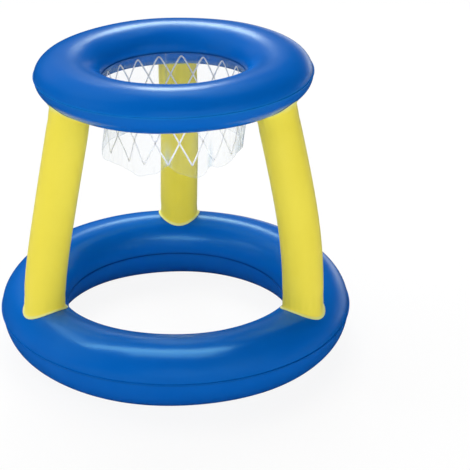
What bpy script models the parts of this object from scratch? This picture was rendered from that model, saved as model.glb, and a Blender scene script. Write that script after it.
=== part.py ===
"""Floating basketball hoop: inflatable rings and posts, a printed film net and two air valves.

The hoop stands on its base ring. +Z is up, the origin is on the floor under the middle of the rings, and -Y is
the front. Every inflated wall is a thin film with its weld lips, so each piece is one thin closed solid.
"""

import math
from dataclasses import dataclass

import bmesh
import bpy
from mathutils import Matrix, Vector

# Fits and films
GAP = 0.0003
FILM = 0.0003
NET_FILM = 0.0002
PRINT_FILM = 0.0002
CUT_OVERRUN = 0.004

# Rings, measured over their weld lips
BASE_OUTER_DIAMETER = 0.610
BASE_HOLE_DIAMETER = 0.378
BASE_HEIGHT = 0.118
TOP_OUTER_DIAMETER = 0.466
TOP_HOLE_DIAMETER = 0.238
TOP_HEIGHT = 0.0733
TOP_CENTRE_HEIGHT = 0.4827
TOP_SECTION_ROLL = math.radians(4.5)
WELD_LIP = 0.002

# Posts
POST_DIAMETER = 0.068
FOOT_SET_OUT = 0.003
HEAD_SET_OUT = 0.017
POST_AZIMUTHS = {"back": math.radians(90), "left": math.radians(210), "right": math.radians(330)}
LEFT_POST_SAG = 0.0035
POST_BEND_SHARE = 0.33
POST_WELD_WIDTH = 0.0045
POST_FLARE = 0.0015
POST_FLARE_HEIGHT = 0.0025
POST_LAP_STEP = 0.0004
AIR_HOLE_DIAMETER = 0.020

# Net: a hanging film tube with a printed lattice of loops
NET_LOOPS = 19
NET_FIRST_LOOP = math.radians(7.9)
NET_TOP_RADIUS = 0.1178
NET_FOOT_RADIUS = 0.1175
NET_MARGIN = 0.0015
NET_TIP_DROP = 0.0055
NET_HALF_LOOP = 0.0362
NET_HEM = 0.016
NET_HEM_ROW_SHARES = (0.5, 1.0)
NET_FOLDS = 8
NET_FIRST_FOLD = math.radians(281)
NET_FOLD_DEPTH = 0.0035
NET_FOLD_DIP = 0.003
NET_LINE = 0.0018

# Air valves, each on the hidden back of its ring
VALVE_AZIMUTH = math.radians(58)
BASE_VALVE_ANGLE = math.radians(30)
TOP_VALVE_ANGLE = math.radians(25)
FLANGE_RADIUS = 0.0110
FLANGE_THICKNESS = 0.0007
CUP_RADIUS = 0.0070
CUP_WALL = 0.0007
CUP_DEPTH = 0.0080
NECK_RADIUS = 0.0043
NECK_BORE = 0.0029
NECK_RISE = 0.0016
NECK_FIT = 0.0002
NECK_TRAVEL = 0.0070
RIM_RADIUS = 0.0052
RIM_HEIGHT = 0.0010
COLLAR_RADIUS = 0.0058
COLLAR_HEIGHT = 0.0008
STRAP_REACH = 0.0060
STRAP_WIDTH = 0.0030
CAP_RADIUS = 0.0048
CAP_THICKNESS = 0.0012
CAP_ROUND = 0.0004
NOSE_RADIUS = 0.0026
NOSE_TIP_RADIUS = 0.0019
NOSE_LENGTH = 0.0036
FLAP_RADIUS = 0.0040
FLAP_OFFSET = 0.0002
FLAP_THICKNESS = 0.0005

# Smoothness
RING_STEPS = 48
SECTION_STEPS = 9
POST_SIDES = 32
POST_ROWS = 6
END_SEARCH_SHARE = 0.25
VALVE_STEPS = 24
SMOOTH_ANGLE = math.radians(35)

VINYL_BLUE = (0.000, 0.107, 0.485)
VINYL_YELLOW = (0.776, 0.687, 0.080)
CLEAR_FILM = (0.90, 0.94, 0.96)
PRINT_WHITE = (0.92, 0.93, 0.94)
CLEAR_SOFT_VINYL = (0.80, 0.86, 0.90)


@dataclass(frozen=True)
class Ring:
    """An inflated ring: a round centre line with an elliptical section, which may be rolled about that line."""

    centre_radius: float
    half_width: float
    half_height: float
    centre_height: float
    roll: float = 0.0

    def place(self, across, up):
        """Radius and height of a point given in the section's own axes."""
        radius = self.centre_radius + across * math.cos(self.roll) - up * math.sin(self.roll)
        height = self.centre_height + across * math.sin(self.roll) + up * math.cos(self.roll)
        return radius, height

    def section(self, point):
        """The section coordinates of a point in space."""
        out = math.hypot(point.x, point.y) - self.centre_radius
        rise = point.z - self.centre_height
        across = out * math.cos(self.roll) + rise * math.sin(self.roll)
        up = rise * math.cos(self.roll) - out * math.sin(self.roll)
        return across, up

    def depth(self, point, offset=0.0):
        """Below one inside the section grown by offset, one on it, above one outside."""
        across, up = self.section(point)
        return math.hypot(across / (self.half_width + offset), up / (self.half_height + offset))

    def seat(self, point, offset=0.0):
        """The point moved onto the ring's surface, offset outwards."""
        across, up = self.section(point)
        scale = 1 / self.depth(point, offset)
        radius, height = self.place(across * scale, up * scale)
        flat = Vector((point.x, point.y)).normalized() * radius
        return Vector((flat.x, flat.y, height))

    def surface(self, azimuth, angle, offset=0.0):
        """The surface point at an azimuth and a section angle, counted from the outer seam over the top."""
        across = (self.half_width + offset) * math.cos(angle)
        up = (self.half_height + offset) * math.sin(angle)
        radius, height = self.place(across, up)
        return Vector((radius * math.cos(azimuth), radius * math.sin(azimuth), height))

    def normal(self, point):
        """The outward normal of the surface at a point on it."""
        across, up = self.section(point)
        slope = Vector((across / self.half_width ** 2, up / self.half_height ** 2)).normalized()
        out = slope.x * math.cos(self.roll) - slope.y * math.sin(self.roll)
        rise = slope.x * math.sin(self.roll) + slope.y * math.cos(self.roll)
        flat = Vector((point.x, point.y)).normalized() * out
        return Vector((flat.x, flat.y, rise))


def ring_between(outer_diameter, hole_diameter, height, centre_height, roll=0.0):
    """A ring from its diameters over the weld lips; its faceted section has the full height on flat bands."""
    half_band = math.pi / SECTION_STEPS / 2
    return Ring(
        centre_radius=(outer_diameter + hole_diameter) / 4,
        half_width=(outer_diameter - hole_diameter) / 4 - WELD_LIP,
        half_height=height / 2 / math.cos(half_band),
        centre_height=centre_height,
        roll=roll,
    )


BASE_RING = ring_between(BASE_OUTER_DIAMETER, BASE_HOLE_DIAMETER, BASE_HEIGHT, BASE_HEIGHT / 2)
TOP_RING = ring_between(TOP_OUTER_DIAMETER, TOP_HOLE_DIAMETER, TOP_HEIGHT, TOP_CENTRE_HEIGHT, TOP_SECTION_ROLL)


def clear_scene():
    """Remove whatever the open file holds."""
    for old in list(bpy.data.objects):
        bpy.data.objects.remove(old, do_unlink=True)


def make_material(name, colour, roughness, alpha=1.0):
    """A Principled material for one piece."""
    material = bpy.data.materials.new(name)
    material.use_nodes = True
    shader = material.node_tree.nodes["Principled BSDF"]
    shader.inputs["Base Color"].default_value = (*colour, 1.0)
    shader.inputs["Roughness"].default_value = roughness
    shader.inputs["Metallic"].default_value = 0.0
    shader.inputs["Alpha"].default_value = alpha
    return material


def make_object(name, bm, material, parent=None, location=(0.0, 0.0, 0.0)):
    """Link a finished bmesh as one named piece, shaded smooth except at its sharp edges."""
    mesh = bpy.data.meshes.new(name)
    bm.to_mesh(mesh)
    bm.free()
    mesh.shade_smooth()
    mesh.set_sharp_from_angle(angle=SMOOTH_ANGLE)
    mesh.materials.append(material)
    piece = bpy.data.objects.new(name, mesh)
    piece.parent = parent
    piece.location = location
    bpy.context.collection.objects.link(piece)
    return piece


def make_film(piece, thickness):
    """Give an open surface its film thickness, half to each side."""
    film = piece.modifiers.new("film", "SOLIDIFY")
    film.thickness = thickness
    film.offset = 0.0
    film.use_even_offset = True


def cut_round_hole(piece, name, centre, direction, radius):
    """Cut a round hole through one film wall with a short hidden cylinder."""
    bm = bmesh.new()
    bmesh.ops.create_cone(
        bm, cap_ends=True, segments=VALVE_STEPS, radius1=radius, radius2=radius, depth=2 * CUT_OVERRUN
    )
    mesh = bpy.data.meshes.new(name)
    bm.to_mesh(mesh)
    bm.free()
    cutter = bpy.data.objects.new(name, mesh)
    cutter.matrix_world = Matrix.Translation(centre) @ direction.to_track_quat("Z", "Y").to_matrix().to_4x4()
    cutter.hide_render = True
    cutter.display_type = "WIRE"
    bpy.context.collection.objects.link(cutter)
    cut = piece.modifiers.new(name, "BOOLEAN")
    cut.operation = "DIFFERENCE"
    cut.solver = "EXACT"
    cut.object = cutter


def revolve(outline, steps, phase=0.0):
    """A closed outline of (radius, height) pairs turned into a solid of revolution about Z."""
    bm = bmesh.new()
    turn = Matrix.Rotation(phase, 3, "Z")
    corners = [bm.verts.new(turn @ Vector((radius, 0.0, height))) for radius, height in outline]
    edges = [bm.edges.new(pair) for pair in zip(corners, corners[1:] + corners[:1])]
    bmesh.ops.spin(
        bm, geom=corners + edges, cent=(0, 0, 0), axis=(0, 0, 1), angle=2 * math.pi, steps=steps, use_merge=True
    )
    bmesh.ops.recalc_face_normals(bm, faces=bm.faces)
    return bm


def turned_plug(outline, steps):
    """An outline that starts and ends on the axis, turned into a solid without a bore."""
    bm = bmesh.new()
    corners = [bm.verts.new((radius, 0.0, height)) for radius, height in outline]
    edges = [bm.edges.new(pair) for pair in zip(corners, corners[1:])]
    bmesh.ops.spin(
        bm, geom=corners + edges, cent=(0, 0, 0), axis=(0, 0, 1), angle=2 * math.pi, steps=steps, use_merge=True
    )
    bmesh.ops.remove_doubles(bm, verts=bm.verts, dist=GAP / 10)
    bmesh.ops.recalc_face_normals(bm, faces=bm.faces)
    return bm


def wrapped_grid(columns, rows, place):
    """A grid closed round its columns, each corner put where place(column, row) says."""
    bm = bmesh.new()
    bmesh.ops.create_grid(bm, x_segments=columns, y_segments=rows, size=1.0)
    for corner in bm.verts:
        column = round((corner.co.x + 1) / 2 * columns)
        row = round((corner.co.y + 1) / 2 * rows)
        corner.co = place(column % columns, row)
    bmesh.ops.remove_doubles(bm, verts=bm.verts, dist=GAP / 10)
    bmesh.ops.recalc_face_normals(bm, faces=bm.faces)
    return bm


def panel_outline(ring, side, inner_clearance, outer_clearance):
    """Film outline of a ring's upper (side 1) or lower (side -1) half, with a weld lip at each seam."""
    angles = [math.pi * (1 - step / SECTION_STEPS) for step in range(1, SECTION_STEPS)]
    edge = ring.half_width
    inside = edge - FILM
    outer_face = [(edge * math.cos(angle), ring.half_height * math.sin(angle)) for angle in angles]
    inner_face = [(inside * math.cos(angle), (ring.half_height - FILM) * math.sin(angle)) for angle in angles]
    outline = [
        (-edge - WELD_LIP, inner_clearance),
        (-edge - WELD_LIP, inner_clearance + FILM),
        (-edge, inner_clearance + FILM),
        *outer_face,
        (edge, outer_clearance + FILM),
        (edge + WELD_LIP, outer_clearance + FILM),
        (edge + WELD_LIP, outer_clearance),
        (inside, outer_clearance),
        *reversed(inner_face),
        (-inside, inner_clearance),
    ]
    return [ring.place(across, up * side) for across, up in outline]


def build_ring(prefix, ring, material, inner_clearance):
    """The upper and lower film panels of one ring."""
    panels = {}
    for word, side in (("upper", 1), ("lower", -1)):
        outline = panel_outline(ring, side, inner_clearance, GAP / 2)
        name = f"{prefix}_ring_{word}_panel"
        panels[word] = make_object(name, revolve(outline, RING_STEPS), material)
    return panels


class Post:
    """One inflated post: a film tube, square to each ring where it meets it, with a weld flange at each end."""

    def __init__(self, azimuth, sag):
        self.out = Vector((math.cos(azimuth), math.sin(azimuth), 0.0))
        self.along = Vector((-math.sin(azimuth), math.cos(azimuth), 0.0))
        self.sag = sag
        foot_radius = BASE_RING.centre_radius + FOOT_SET_OUT
        head_radius = TOP_RING.centre_radius + HEAD_SET_OUT
        self.foot = BASE_RING.seat(self.out * foot_radius + Vector((0, 0, BASE_HEIGHT)))
        self.head = TOP_RING.seat(self.out * head_radius + Vector((0, 0, TOP_CENTRE_HEIGHT - TOP_HEIGHT / 2)))
        self.head_normal = TOP_RING.normal(self.head)
        reach = (self.head - self.foot).length * POST_BEND_SHARE
        self.handles = (self.foot + Vector((0, 0, reach)), self.head + self.head_normal * reach)

    def axis(self, share):
        """Centre and direction of the post at a share of its length, run on straight past its ends."""
        inside = min(max(share, 0.0), 1.0)
        rest = 1 - inside
        first, second = self.handles
        centre = (
            rest ** 3 * self.foot
            + 3 * rest ** 2 * inside * first
            + 3 * rest * inside ** 2 * second
            + inside ** 3 * self.head
        )
        slope = 3 * (
            rest ** 2 * (first - self.foot)
            + 2 * rest * inside * (second - first)
            + inside ** 2 * (self.head - second)
        )
        centre -= self.out * self.sag * 4 * inside * rest
        return centre + slope * (share - inside), slope.normalized()

    def wall(self, share, turn, radius=POST_DIAMETER / 2):
        """A point of the tube's wall; a turn of zero faces away from the hoop's middle."""
        centre, direction = self.axis(share)
        across = self.along.cross(direction).normalized()
        if across.dot(self.out) < 0:
            across.negate()
        return centre + (across * math.cos(turn) + self.along * math.sin(turn)) * radius

    def end_share(self, ring, turn, start, radius):
        """The share at which the wall's line meets a ring, found by halving, from start towards the ring."""
        reach = END_SEARCH_SHARE if start else -END_SEARCH_SHARE
        near, far = start - reach, start + reach
        for _ in range(40):
            middle = (near + far) / 2
            if ring.depth(self.wall(middle, turn, radius), GAP + FILM / 2) > 1:
                near = middle
            else:
                far = middle
        return near

    def rim(self, ring, turn, start, width):
        """A weld flange point: the wall's foot on the ring, moved outwards along the ring's surface."""
        radius = POST_DIAMETER / 2
        foot = self.wall(self.end_share(ring, turn, start, radius), turn, radius)
        outward = (foot - self.axis(start)[0]).normalized()
        normal = ring.normal(foot)
        outward = (outward - normal * outward.dot(normal)).normalized()
        return ring.seat(foot + outward * width, GAP + FILM / 2)

    def place(self, column, row):
        """Grid point of the film: foot flange, tube, head flange. One column stands proud as the lap weld."""
        turn = 2 * math.pi * (column + 0.5) / POST_SIDES
        lap = abs(turn - math.pi) < 2 * math.pi / POST_SIDES
        radius = POST_DIAMETER / 2 + (POST_LAP_STEP if lap else 0.0)
        last = POST_ROWS + 3
        if row == 0:
            return self.rim(BASE_RING, turn, 0.0, POST_WELD_WIDTH)
        if row == 1:
            return self.rim(BASE_RING, turn, 0.0, POST_FLARE)
        if row == last:
            return self.rim(TOP_RING, turn, 1.0, POST_WELD_WIDTH)
        if row == last - 1:
            return self.rim(TOP_RING, turn, 1.0, POST_FLARE)
        length = (self.head - self.foot).length
        low = self.end_share(BASE_RING, turn, 0.0, radius) + POST_FLARE_HEIGHT / length
        high = self.end_share(TOP_RING, turn, 1.0, radius) - POST_FLARE_HEIGHT / length
        share = low + (high - low) * (row - 2) / (last - 4)
        return self.wall(share, turn, radius)


def build_posts(base_panels, material):
    """Three posts, and the air hole that each has in the base ring's top."""
    for word, azimuth in POST_AZIMUTHS.items():
        post = Post(azimuth, LEFT_POST_SAG if word == "left" else 0.0)
        piece = make_object(f"post_{word}", wrapped_grid(POST_SIDES, POST_ROWS + 3, post.place), material)
        make_film(piece, FILM)
        upright = BASE_RING.normal(post.foot)
        cut_round_hole(base_panels["upper"], f"air_hole_{word}", post.foot, upright, AIR_HOLE_DIAMETER / 2)


NET_DROPS = (0.0, *(NET_TIP_DROP + NET_HALF_LOOP * level for level in range(4)))


def net_radius(drop):
    """Radius of the net's film at a drop below its seam, between its top and its foot."""
    share = drop / NET_DROPS[-1]
    return NET_TOP_RADIUS + (NET_FOOT_RADIUS - NET_TOP_RADIUS) * share


def net_azimuth(column):
    """Azimuth of one of the net's columns: even ones carry the tips of the loops, odd ones lie between."""
    return NET_FIRST_LOOP + math.pi * column / NET_LOOPS


def net_point(column, drop, swell=0.0):
    """A point of the net's film."""
    seam_height = TOP_RING.place(-TOP_RING.half_width - WELD_LIP, 0.0)[1]
    azimuth = net_azimuth(column)
    radius = net_radius(drop) + swell
    return Vector((radius * math.cos(azimuth), radius * math.sin(azimuth), seam_height - drop))


def net_film_point(column, row):
    """Grid point of the net's film: margin in the weld, flat printed facets, then the hem's soft folds."""
    azimuth = net_azimuth(column / 2)
    margin_radius, margin_height = TOP_RING.place(-TOP_RING.half_width - WELD_LIP + NET_MARGIN, 0.0)
    if row == 0:
        corner = Vector((margin_radius * math.cos(azimuth), margin_radius * math.sin(azimuth), margin_height))
    elif row <= len(NET_DROPS):
        corner = net_point(column / 2, NET_DROPS[row - 1])
    else:
        share = NET_HEM_ROW_SHARES[row - len(NET_DROPS) - 1]
        fold = share * math.cos(NET_FOLDS * (azimuth - NET_FIRST_FOLD))
        drop = NET_DROPS[-1] + NET_HEM * share + NET_FOLD_DIP * fold
        return net_point(column / 2, drop, NET_FOLD_DEPTH * fold)
    if column % 2:
        corner.xy *= math.cos(math.pi / NET_LOOPS / 2)
    return corner


def build_net_film(material):
    """The clear tube, welded into the top ring's inner seam and hanging from it."""
    rows = len(NET_DROPS) + len(NET_HEM_ROW_SHARES)
    piece = make_object("net_film", wrapped_grid(4 * NET_LOOPS, rows, net_film_point), material)
    make_film(piece, NET_FILM)


def build_net_print(material):
    """The printed lattice: cells on the film's columns, each shrunk by half a line and then taken out."""
    bm = bmesh.new()
    swell = NET_FILM / 2 + GAP + PRINT_FILM / 2
    columns = 2 * NET_LOOPS
    knots = []
    for level in range(4):
        drop = NET_DROPS[level + 1]
        row = {column: bm.verts.new(net_point(column, drop, swell)) for column in range(level % 2, columns, 2)}
        knots.append(row)
    edging = []
    for column in range(columns):
        left, right = (column - 1) % columns, (column + 1) % columns
        if column % 2 == 0:
            bm.faces.new((knots[0][column], knots[1][left], knots[2][column], knots[1][right]))
            bm.faces.new((knots[2][column], knots[3][left], knots[3][right]))
            edging.append((knots[3][left], knots[3][right]))
        else:
            bm.faces.new((knots[1][column], knots[2][left], knots[3][column], knots[2][right]))
            bm.faces.new((knots[0][left], knots[1][column], knots[0][right]))
            edging.append((knots[0][left], knots[0][right]))
    bmesh.ops.recalc_face_normals(bm, faces=bm.faces)
    cells = list(bm.faces)
    bmesh.ops.inset_individual(bm, faces=cells, thickness=NET_LINE / 2, use_even_offset=True)
    borders = [bm.edges.get(pair).link_faces[0] for pair in edging]
    bmesh.ops.delete(bm, geom=cells + borders, context="FACES")
    facet = math.pi / NET_LOOPS
    seam_height = net_point(0, 0.0).z
    for corner in bm.verts:
        azimuth = math.atan2(corner.co.y, corner.co.x)
        aside = (azimuth - net_azimuth(0)) % facet - facet / 2
        radius = net_radius(seam_height - corner.co.z) + swell
        flat = Vector((corner.co.x, corner.co.y)).normalized() * radius * math.cos(facet / 2) / math.cos(aside)
        corner.co = (flat.x, flat.y, corner.co.z)
    piece = make_object("net_print", bm, material)
    make_film(piece, PRINT_FILM)


class Valve:
    """An air valve: seat with a cup, a neck that slides in the cup, a plug on a strap and a one-way flap."""

    def __init__(self, prefix, ring, angle):
        self.prefix = prefix
        self.ring = ring
        self.origin = ring.surface(VALVE_AZIMUTH, angle)
        self.normal = ring.normal(self.origin)
        side = Vector((-math.sin(VALVE_AZIMUTH), math.cos(VALVE_AZIMUTH), 0.0))
        rise = self.normal.cross(side)
        turn = Matrix((side, rise, self.normal)).transposed()
        self.frame = Matrix.Translation(self.origin) @ turn.to_4x4()
        self.floor = -CUP_DEPTH - CUP_WALL
        self.neck_foot = self.floor - GAP - NECK_TRAVEL - COLLAR_HEIGHT
        self.plug_hinge = Vector((-STRAP_REACH, 0.0, NECK_RISE + GAP / 2))
        self.flap_hinge = Vector((FLAP_OFFSET - FLAP_RADIUS, 0.0, self.neck_foot - GAP / 2))

    def seat(self):
        """The welded flange with its cup. The flange follows the ring's curve."""
        cup_outside = CUP_RADIUS + CUP_WALL
        outline = [
            (FLANGE_RADIUS, GAP),
            (FLANGE_RADIUS, GAP + FLANGE_THICKNESS),
            (CUP_RADIUS, GAP + FLANGE_THICKNESS),
            (CUP_RADIUS, -CUP_DEPTH),
            (NECK_RADIUS + NECK_FIT, -CUP_DEPTH),
            (NECK_RADIUS + NECK_FIT, self.floor),
            (cup_outside, self.floor),
            (cup_outside, GAP),
        ]
        bm = revolve(outline, VALVE_STEPS)
        back = self.frame.inverted()
        for corner in bm.verts:
            if math.hypot(corner.co.x, corner.co.y) < (cup_outside + FLANGE_RADIUS) / 2:
                continue
            level = Vector((corner.co.x, corner.co.y, 0.0))
            corner.co += back @ self.ring.seat(self.frame @ level) - level
        return bm

    def pull_strap(self, bm, root):
        """Pull one facet of a rim or cap out to the hinge line, widening it to the strap's full width."""
        made = bmesh.ops.extrude_face_region(bm, geom=root)["geom"]
        for corner in (item for item in made if isinstance(item, bmesh.types.BMVert)):
            corner.co.x = -STRAP_REACH
            corner.co.y = math.copysign(STRAP_WIDTH / 2, corner.co.y)
        bmesh.ops.delete(bm, geom=root, context="FACES")

    def neck(self):
        """The tube that is blown into, with its rim, its inner stop collar and the strap's root."""
        outline = [
            (NECK_BORE, self.neck_foot),
            (COLLAR_RADIUS, self.neck_foot),
            (COLLAR_RADIUS, self.neck_foot + COLLAR_HEIGHT),
            (NECK_RADIUS, self.neck_foot + COLLAR_HEIGHT),
            (NECK_RADIUS, NECK_RISE - RIM_HEIGHT),
            (RIM_RADIUS, NECK_RISE - RIM_HEIGHT),
            (RIM_RADIUS, NECK_RISE),
            (NECK_BORE, NECK_RISE),
        ]
        bm = revolve(outline, VALVE_STEPS, math.pi / VALVE_STEPS)
        root = [
            face
            for face in bm.faces
            if face.normal.x < -math.cos(math.pi / VALVE_STEPS)
            and face.calc_center_median().z > NECK_RISE - RIM_HEIGHT
        ]
        self.pull_strap(bm, root)
        return bm

    def plug(self):
        """The cap with its tapered nose, and the strap that holds it to the neck."""
        top = GAP + CAP_THICKNESS
        outline = [
            (0.0, -NOSE_LENGTH),
            (NOSE_TIP_RADIUS, -NOSE_LENGTH),
            (NOSE_RADIUS, GAP),
            (CAP_RADIUS, GAP),
            (CAP_RADIUS, top - CAP_ROUND),
            (CAP_RADIUS - CAP_ROUND, top),
            (0.0, top),
        ]
        bm = turned_plug(outline, VALVE_STEPS)
        turn = Matrix.Rotation(math.pi / VALVE_STEPS, 3, "Z")
        bmesh.ops.rotate(bm, verts=bm.verts, cent=(0, 0, 0), matrix=turn)
        root = [
            face
            for face in bm.faces
            if face.normal.x < -math.cos(math.pi / VALVE_STEPS) and face.calc_center_median().z > GAP
        ]
        self.pull_strap(bm, root)
        bmesh.ops.translate(bm, verts=bm.verts, vec=Vector((0, 0, NECK_RISE)) - self.plug_hinge)
        return bm

    def flap(self):
        """The disc that closes the neck's inner end."""
        bm = bmesh.new()
        rim = {"radius1": FLAP_RADIUS, "radius2": FLAP_RADIUS}
        bmesh.ops.create_cone(bm, cap_ends=True, segments=VALVE_STEPS, depth=FLAP_THICKNESS, **rim)
        centre = Vector((FLAP_OFFSET, 0.0, self.neck_foot - GAP - FLAP_THICKNESS / 2))
        bmesh.ops.translate(bm, verts=bm.verts, vec=centre - self.flap_hinge)
        return bm

    def build(self, panel, material):
        """The valve's four pieces under one empty, and its hole in the panel."""
        holder = bpy.data.objects.new(f"{self.prefix}_valve", None)
        holder.matrix_world = self.frame
        bpy.context.collection.objects.link(holder)
        make_object(f"{self.prefix}_valve_seat", self.seat(), material, holder)
        make_object(f"{self.prefix}_valve_neck", self.neck(), material, holder)
        make_object(f"{self.prefix}_valve_plug", self.plug(), material, holder, self.plug_hinge)
        make_object(f"{self.prefix}_valve_flap", self.flap(), material, holder, self.flap_hinge)
        cut_round_hole(
            panel, f"{self.prefix}_valve_hole", self.origin, self.normal, CUP_RADIUS + CUP_WALL + GAP
        )


def build():
    """Build the whole hoop."""
    clear_scene()
    blue = make_material("blue_vinyl", VINYL_BLUE, 0.3)
    yellow = make_material("yellow_vinyl", VINYL_YELLOW, 0.35)
    clear = make_material("clear_film", CLEAR_FILM, 0.15, alpha=0.25)
    white = make_material("white_print", PRINT_WHITE, 0.5)
    soft = make_material("clear_soft_vinyl", CLEAR_SOFT_VINYL, 0.25, alpha=0.6)
    base_panels = build_ring("base", BASE_RING, blue, GAP / 2)
    top_panels = build_ring("top", TOP_RING, blue, GAP + NET_FILM / 2)
    build_posts(base_panels, yellow)
    build_net_film(clear)
    build_net_print(white)
    Valve("base", BASE_RING, BASE_VALVE_ANGLE).build(base_panels["upper"], soft)
    Valve("top", TOP_RING, TOP_VALVE_ANGLE).build(top_panels["upper"], soft)


build()
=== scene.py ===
"""Looks of a floating basketball hoop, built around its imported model.

Two inflated blue rings, three inflated yellow posts, a clear film net with a printed lattice and two air
valves. All sizes are in metres, +Z is up, the hoop stands on z = 0 and its front faces -Y.
"""

import logging
import math
from dataclasses import dataclass, field
from enum import Enum
from typing import Callable

import bmesh
import bpy
from mathutils import Matrix, Vector, noise


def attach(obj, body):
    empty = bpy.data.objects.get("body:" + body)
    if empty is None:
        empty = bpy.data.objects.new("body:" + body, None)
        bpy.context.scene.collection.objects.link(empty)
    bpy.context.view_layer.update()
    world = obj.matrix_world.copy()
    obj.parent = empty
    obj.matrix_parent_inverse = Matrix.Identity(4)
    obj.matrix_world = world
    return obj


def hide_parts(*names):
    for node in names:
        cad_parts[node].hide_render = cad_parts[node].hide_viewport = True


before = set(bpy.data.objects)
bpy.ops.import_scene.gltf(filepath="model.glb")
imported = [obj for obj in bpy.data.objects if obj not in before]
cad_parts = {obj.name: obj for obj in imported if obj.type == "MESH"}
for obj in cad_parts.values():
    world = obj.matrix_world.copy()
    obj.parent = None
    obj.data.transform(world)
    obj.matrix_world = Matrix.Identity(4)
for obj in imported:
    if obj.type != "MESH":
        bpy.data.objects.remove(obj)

LOG = logging.getLogger("hoop")
FULL_TURN = 2 * math.pi
HOOP_BODY = "hoop"
MERGE_DISTANCE = 1e-6
RIPPLE_SPREAD = 1.4
Colour = tuple[float, float, float]
Point = tuple[float, float, float]
Mesh = bmesh.types.BMesh
Material = bpy.types.Material
Tree = bpy.types.NodeTree
Node = bpy.types.Node
Inputs = dict[object, object]
Socket = bpy.types.NodeSocket


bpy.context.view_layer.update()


class Half(Enum):
    """Which film panel of a ring: the value is the side of the seams on which it lies."""

    UPPER = 1
    LOWER = -1


class PostPlace(Enum):
    """The posts by place; the value is the azimuth in degrees."""

    BACK = 90
    LEFT = 210
    RIGHT = 330


def polar(azimuth: float, radius: float, height: float) -> Vector:
    """The point at an azimuth in radians, a distance from the Z axis and a height."""
    return Vector((radius * math.cos(azimuth), radius * math.sin(azimuth), height))


def turned(across: float, up: float, angle: float) -> tuple[float, float]:
    """A pair of plane coordinates, turned anticlockwise by an angle."""
    cosine, sine = math.cos(angle), math.sin(angle)
    return across * cosine - up * sine, across * sine + up * cosine


def around_from(azimuth: float, middle: float) -> float:
    """The shorter way round from a middle to an azimuth, from minus to plus half a turn."""
    return (azimuth - middle + math.pi) % FULL_TURN - math.pi


def linked(name: str, data: bpy.types.ID) -> bpy.types.Object:
    """Put an object into the scene.

    Args:
        name: its name.
        data: the mesh, lamp or camera that it shows.

    Returns:
        The new object.
    """
    made = bpy.data.objects.new(name, data)
    bpy.context.scene.collection.objects.link(made)
    return made


def mesh_from(name: str, bm: Mesh) -> bpy.types.Mesh:
    """Turn a bmesh into a mesh and free it.

    Args:
        name: the mesh's name.
        bm: what it is made from.

    Returns:
        The new mesh.
    """
    mesh = bpy.data.meshes.new(name)
    bm.to_mesh(mesh)
    bm.free()
    return mesh


def empty_tree(holder: Material | bpy.types.World) -> Tree:
    """Give a material or a world an empty node tree.

    Args:
        holder: the material or world.

    Returns:
        Its node tree.
    """
    holder.use_nodes = True
    holder.node_tree.nodes.clear()
    return holder.node_tree


def bump(distance: float, width: float) -> float:
    """A smooth hump of height one that fades within about two widths."""
    return math.exp(-((distance / width) ** 2))


def smooth_step(low: float, high: float, value: float) -> float:
    """Zero below low, one above high and a smooth rise between."""
    share = min(max((value - low) / (high - low), 0.0), 1.0)
    return share * share * (3 - 2 * share)


def ripple(azimuth: float, waves: tuple[int, ...], phase: float) -> float:
    """A fixed, uneven ripple round a full turn, about one at most; the phase shifts its whole pattern."""
    total = sum(math.sin(count * azimuth + phase * (index + 1) ** 2) for index, count in enumerate(waves))
    return total / math.sqrt(len(waves)) / RIPPLE_SPREAD


@dataclass
class Lean:
    """How the soft posts let the top ring tilt a little; the tilt fades out downwards to the base ring."""

    about_x: float
    about_y: float
    pivot_height: float
    still_below: float
    full_above: float

    def __post_init__(self) -> None:
        """Work out the pivot and the turn."""
        self.pivot = Vector((0.0, 0.0, self.pivot_height))
        self.turn = Matrix.Rotation(self.about_x, 3, "X") @ Matrix.Rotation(self.about_y, 3, "Y")

    def moved(self, point: Vector) -> Vector:
        """Where a point of the upright hoop goes."""
        share = smooth_step(self.still_below, self.full_above, point.z)
        return point.lerp(self.pivot + self.turn @ (point - self.pivot), share) if share else point


LEAN = Lean(
    about_x=math.radians(-0.668),
    about_y=math.radians(-1.073),
    pivot_height=0.4827,
    still_below=0.12,
    full_above=0.42,
)


# Finishes


def feed(tree: Tree, slot: Socket, value: object) -> None:
    """Link a socket into an input, or set the input to a value; a colour gets its alpha here.

    Args:
        tree: the node tree of both.
        slot: the input.
        value: a socket to link or a value to set.
    """
    if isinstance(value, Socket):
        tree.links.new(value, slot)
    else:
        slot.default_value = (*value, 1.0) if slot.type == "RGBA" else value


def add_node(tree: Tree, kind: str, values: Inputs | None = None, **settings: object) -> Node:
    """Add a shader node.

    Args:
        tree: the node tree that gets it.
        kind: the node's type, without its first word.
        values: what each input gets, by name or place: a socket or a value.
        settings: the node's own properties.

    Returns:
        The new node.
    """
    made = tree.nodes.new(f"ShaderNode{kind}")
    for label, setting in settings.items():
        setattr(made, label, setting)
    for label, value in (values or {}).items():
        feed(tree, made.inputs[label], value)
    return made


def maths(tree: Tree, operation: str, *terms: object, clamp: bool = False) -> Socket:
    """Add a Math node on sockets or numbers and return its output, kept between 0 and 1 by clamp."""
    return add_node(tree, "Math", dict(enumerate(terms)), operation=operation, use_clamp=clamp).outputs[0]


def blended(tree: Tree, first: object, second: object, factor: Socket) -> Socket:
    """Mix two colours by a factor."""
    mix = add_node(tree, "Mix", {"A": first, "B": second, "Factor": factor}, data_type="RGBA")
    return mix.outputs["Result"]


def noise_at(tree: Tree, at: Socket, scale: object, detail: float, distortion: float = 0.0) -> Socket:
    """Add a Noise Texture and return its factor."""
    values = {"Vector": at, "Scale": scale, "Detail": detail, "Distortion": distortion}
    return add_node(tree, "TexNoise", values).outputs["Fac"]


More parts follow.
